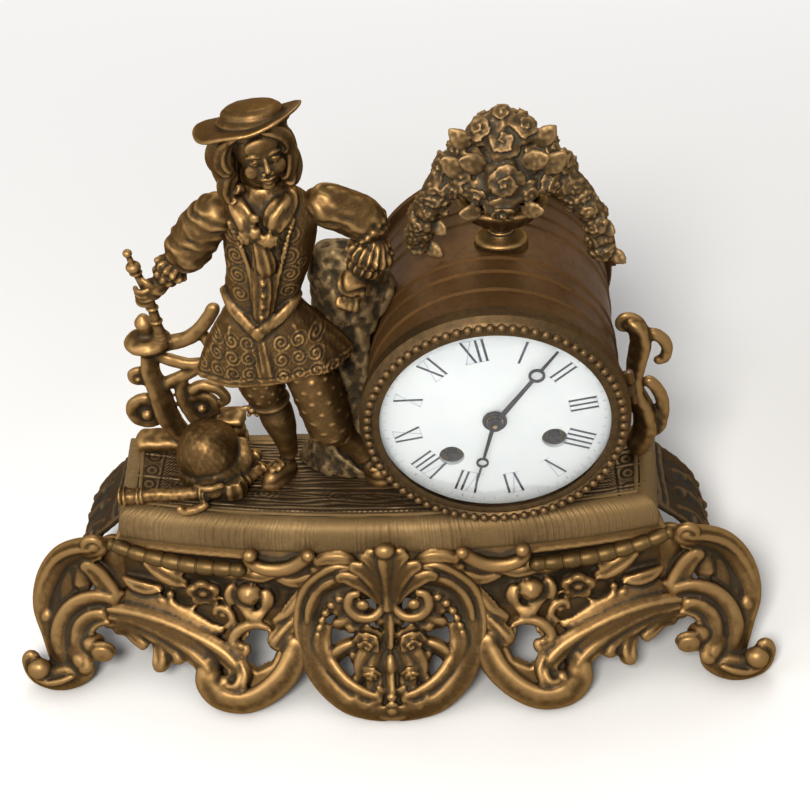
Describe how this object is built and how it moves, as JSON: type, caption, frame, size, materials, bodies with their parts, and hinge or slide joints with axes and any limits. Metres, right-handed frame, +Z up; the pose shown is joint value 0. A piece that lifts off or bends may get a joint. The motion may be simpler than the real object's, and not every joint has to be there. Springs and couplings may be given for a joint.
{
  "type": "figure mantel clock",
  "caption": "Gilt mantel clock: a musician in a broad hat beside a drum movement with a flower basket, on a bowed, pierced scroll base.",
  "frame": {"origin": "on the surface the clock stands on, under the middle of its bounding box", "axes": "+Z up, the dial looks along -Y, +X to the right as seen from the front"},
  "size_m": [0.3342, 0.1438, 0.2643],
  "materials": {
    "gilt_bronze": "antique gilt, worn bright on its high points, with dark recesses",
    "drum_bronze": "smooth dark gilt",
    "enamel": "white fired enamel on copper",
    "glass": "clear, domed",
    "blued_steel": "heat blued",
    "steel": "plain, ground",
    "brass": "lacquered",
    "bell_metal": "turned"
  },
  "bodies": {
    "case": {"deck_plate": "gilt_bronze", "front_apron": "gilt_bronze", "front_cartouche": "gilt_bronze", "left_corner_foot": "gilt_bronze", "right_corner_foot": "gilt_bronze", "left_side_apron": "gilt_bronze", "right_side_apron": "gilt_bronze", "rock_mound": "gilt_bronze", "left_balustrade": "gilt_bronze", "right_scroll_bracket": "gilt_bronze", "bagpipe": "gilt_bronze", "figure_body": "gilt_bronze", "figure_head": "gilt_bronze", "figure_right_arm": "gilt_bronze", "figure_left_arm": "gilt_bronze", "figure_right_leg": "gilt_bronze", "figure_left_leg": "gilt_bronze", "figure_pipe": "gilt_bronze", "basket_urn": "gilt_bronze", "basket_flowers": "gilt_bronze", "fixing_nuts": "steel", "drum_barrel": "drum_bronze", "bezel_seat_ring": "drum_bronze", "rear_ring": "drum_bronze", "hinge_pins": "steel", "dial": "enamel", "front_plate": "brass", "back_plate": "brass", "plate_pillars": "brass", "movement_straps": "steel", "strap_screws": "steel", "suspension_block": "brass", "bell": "bell_metal", "bell_stand": "steel"},
    "bezel": {"front_bezel": "gilt_bronze", "bezel_glass": "glass"},
    "door": {"rear_door": "brass"},
    "minute": {"minute_hand": "blued_steel", "hand_nut": "brass", "cannon_pinion": "brass", "centre_wheel": "brass"},
    "hour": {"hour_hand": "blued_steel", "hour_wheel": "brass"},
    "minute_wheel": {"minute_wheel": "brass"},
    "going_second": {"going_second_wheel": "brass"},
    "going_barrel": {"going_barrel": "brass"},
    "going_winding": {"going_arbor": "steel"},
    "third": {"third_wheel": "brass"},
    "escape": {"escape_wheel": "brass"},
    "anchor": {"anchor": "steel"},
    "pendulum": {"pendulum": "brass"},
    "strike_second": {"strike_second_wheel": "brass", "count_wheel": "brass"},
    "strike_barrel": {"strike_barrel": "brass"},
    "strike_winding": {"strike_arbor": "steel"},
    "pin_wheel": {"strike_pin_wheel": "brass"},
    "locking": {"locking_wheel": "brass"},
    "fly": {"fly": "brass"},
    "hammer": {"hammer": "steel"},
    "regulator": {"regulator_arbor": "steel"}
  },
  "joints": [
    {"name": "bezel_hinge", "type": "hinge", "parent": "case", "child": "bezel", "pos_m": [0.10001, -0.0236, 0.14831], "axis": [-0.1994, 0, 0.9799], "range_deg": [0, 110]},
    {"name": "door_hinge", "type": "hinge", "parent": "case", "child": "door", "pos_m": [0.1007, 0.069, 0.14844], "axis": [0.1994, 0, -0.9799], "range_deg": [0, 100]},
    {"name": "minute_turn", "type": "hinge", "parent": "case", "child": "minute", "pos_m": [0.0469, 0, 0.1375], "axis": [0, 1, 0], "continuous": true},
    {"name": "hour_turn", "type": "hinge", "parent": "case", "child": "hour", "pos_m": [0.0469, 0, 0.1375], "axis": [0, 1, 0], "continuous": true},
    {"name": "minute_wheel_turn", "type": "hinge", "parent": "case", "child": "minute_wheel", "pos_m": [0.04921, 0, 0.12613], "axis": [0, 1, 0], "continuous": true},
    {"name": "going_second_turn", "type": "hinge", "parent": "case", "child": "going_second", "pos_m": [0.05048, 0, 0.124], "axis": [0, 1, 0], "continuous": true},
    {"name": "going_barrel_turn", "type": "hinge", "parent": "case", "child": "going_barrel", "pos_m": [0.07029, 0, 0.12685], "axis": [0, 1, 0], "continuous": true},
    {"name": "third_wheel_turn", "type": "hinge", "parent": "case", "child": "third", "pos_m": [0.05192, 0, 0.1519], "axis": [0, 1, 0], "continuous": true},
    {"name": "escape_wheel_turn", "type": "hinge", "parent": "case", "child": "escape", "pos_m": [0.04266, 0, 0.15835], "axis": [0, 1, 0], "continuous": true},
    {"name": "going_winding", "type": "hinge", "parent": "case", "child": "going_winding", "pos_m": [0.07029, 0, 0.12685], "axis": [0, 1, 0], "continuous": true},
    {"name": "anchor_swing", "type": "hinge", "parent": "case", "child": "anchor", "pos_m": [0.04012, 0, 0.17082], "axis": [0, 1, 0], "range_deg": [-3, 3]},
    {"name": "pendulum_swing", "type": "hinge", "parent": "case", "child": "pendulum", "pos_m": [0.04012, 0, 0.17082], "axis": [0, 1, 0], "range_deg": [-3, 3]},
    {"name": "strike_second_turn", "type": "hinge", "parent": "case", "child": "strike_second", "pos_m": [0.03295, 0, 0.13828], "axis": [0, 1, 0], "continuous": true},
    {"name": "strike_barrel_turn", "type": "hinge", "parent": "case", "child": "strike_barrel", "pos_m": [0.02953, 0, 0.11856], "axis": [0, 1, 0], "continuous": true},
    {"name": "pin_wheel_turn", "type": "hinge", "parent": "case", "child": "pin_wheel", "pos_m": [0.02453, 0, 0.15009], "axis": [0, 1, 0], "continuous": true},
    {"name": "locking_wheel_turn", "type": "hinge", "parent": "case", "child": "locking", "pos_m": [0.03189, 0, 0.15785], "axis": [0, 1, 0], "continuous": true},
    {"name": "fly_turn", "type": "hinge", "parent": "case", "child": "fly", "pos_m": [0.02753, 0, 0.16498], "axis": [0, 1, 0], "continuous": true},
    {"name": "strike_winding", "type": "hinge", "parent": "case", "child": "strike_winding", "pos_m": [0.02953, 0, 0.11856], "axis": [0, 1, 0], "continuous": true},
    {"name": "hammer_lift", "type": "hinge", "parent": "case", "child": "hammer", "pos_m": [0.01219, 0, 0.13659], "axis": [0, -1, 0], "range_deg": [0, 12], "stiffness_Nm_per_rad": 0.004, "springref_deg": -8.59},
    {"name": "regulator_turn", "type": "hinge", "parent": "case", "child": "regulator", "pos_m": [0.03813, 0, 0.18062], "axis": [0, 1, 0], "range_deg": [-180, 180]}
  ],
  "couplings": [
    {"joint": "hour_turn", "follows": "minute_turn", "ratio": 0.083333},
    {"joint": "minute_wheel_turn", "follows": "minute_turn", "ratio": -0.33333},
    {"joint": "going_second_turn", "follows": "minute_turn", "ratio": -0.125},
    {"joint": "going_barrel_turn", "follows": "minute_turn", "ratio": 0.013889},
    {"joint": "third_wheel_turn", "follows": "minute_turn", "ratio": -7.5},
    {"joint": "escape_wheel_turn", "follows": "minute_turn", "ratio": 52.5},
    {"joint": "anchor_swing", "follows": "pendulum_swing", "ratio": 1},
    {"joint": "strike_barrel_turn", "follows": "strike_second_turn", "ratio": -0.11111},
    {"joint": "pin_wheel_turn", "follows": "strike_second_turn", "ratio": -8},
    {"joint": "locking_wheel_turn", "follows": "strike_second_turn", "ratio": 56},
    {"joint": "fly_turn", "follows": "strike_second_turn", "ratio": -392}
  ]
}
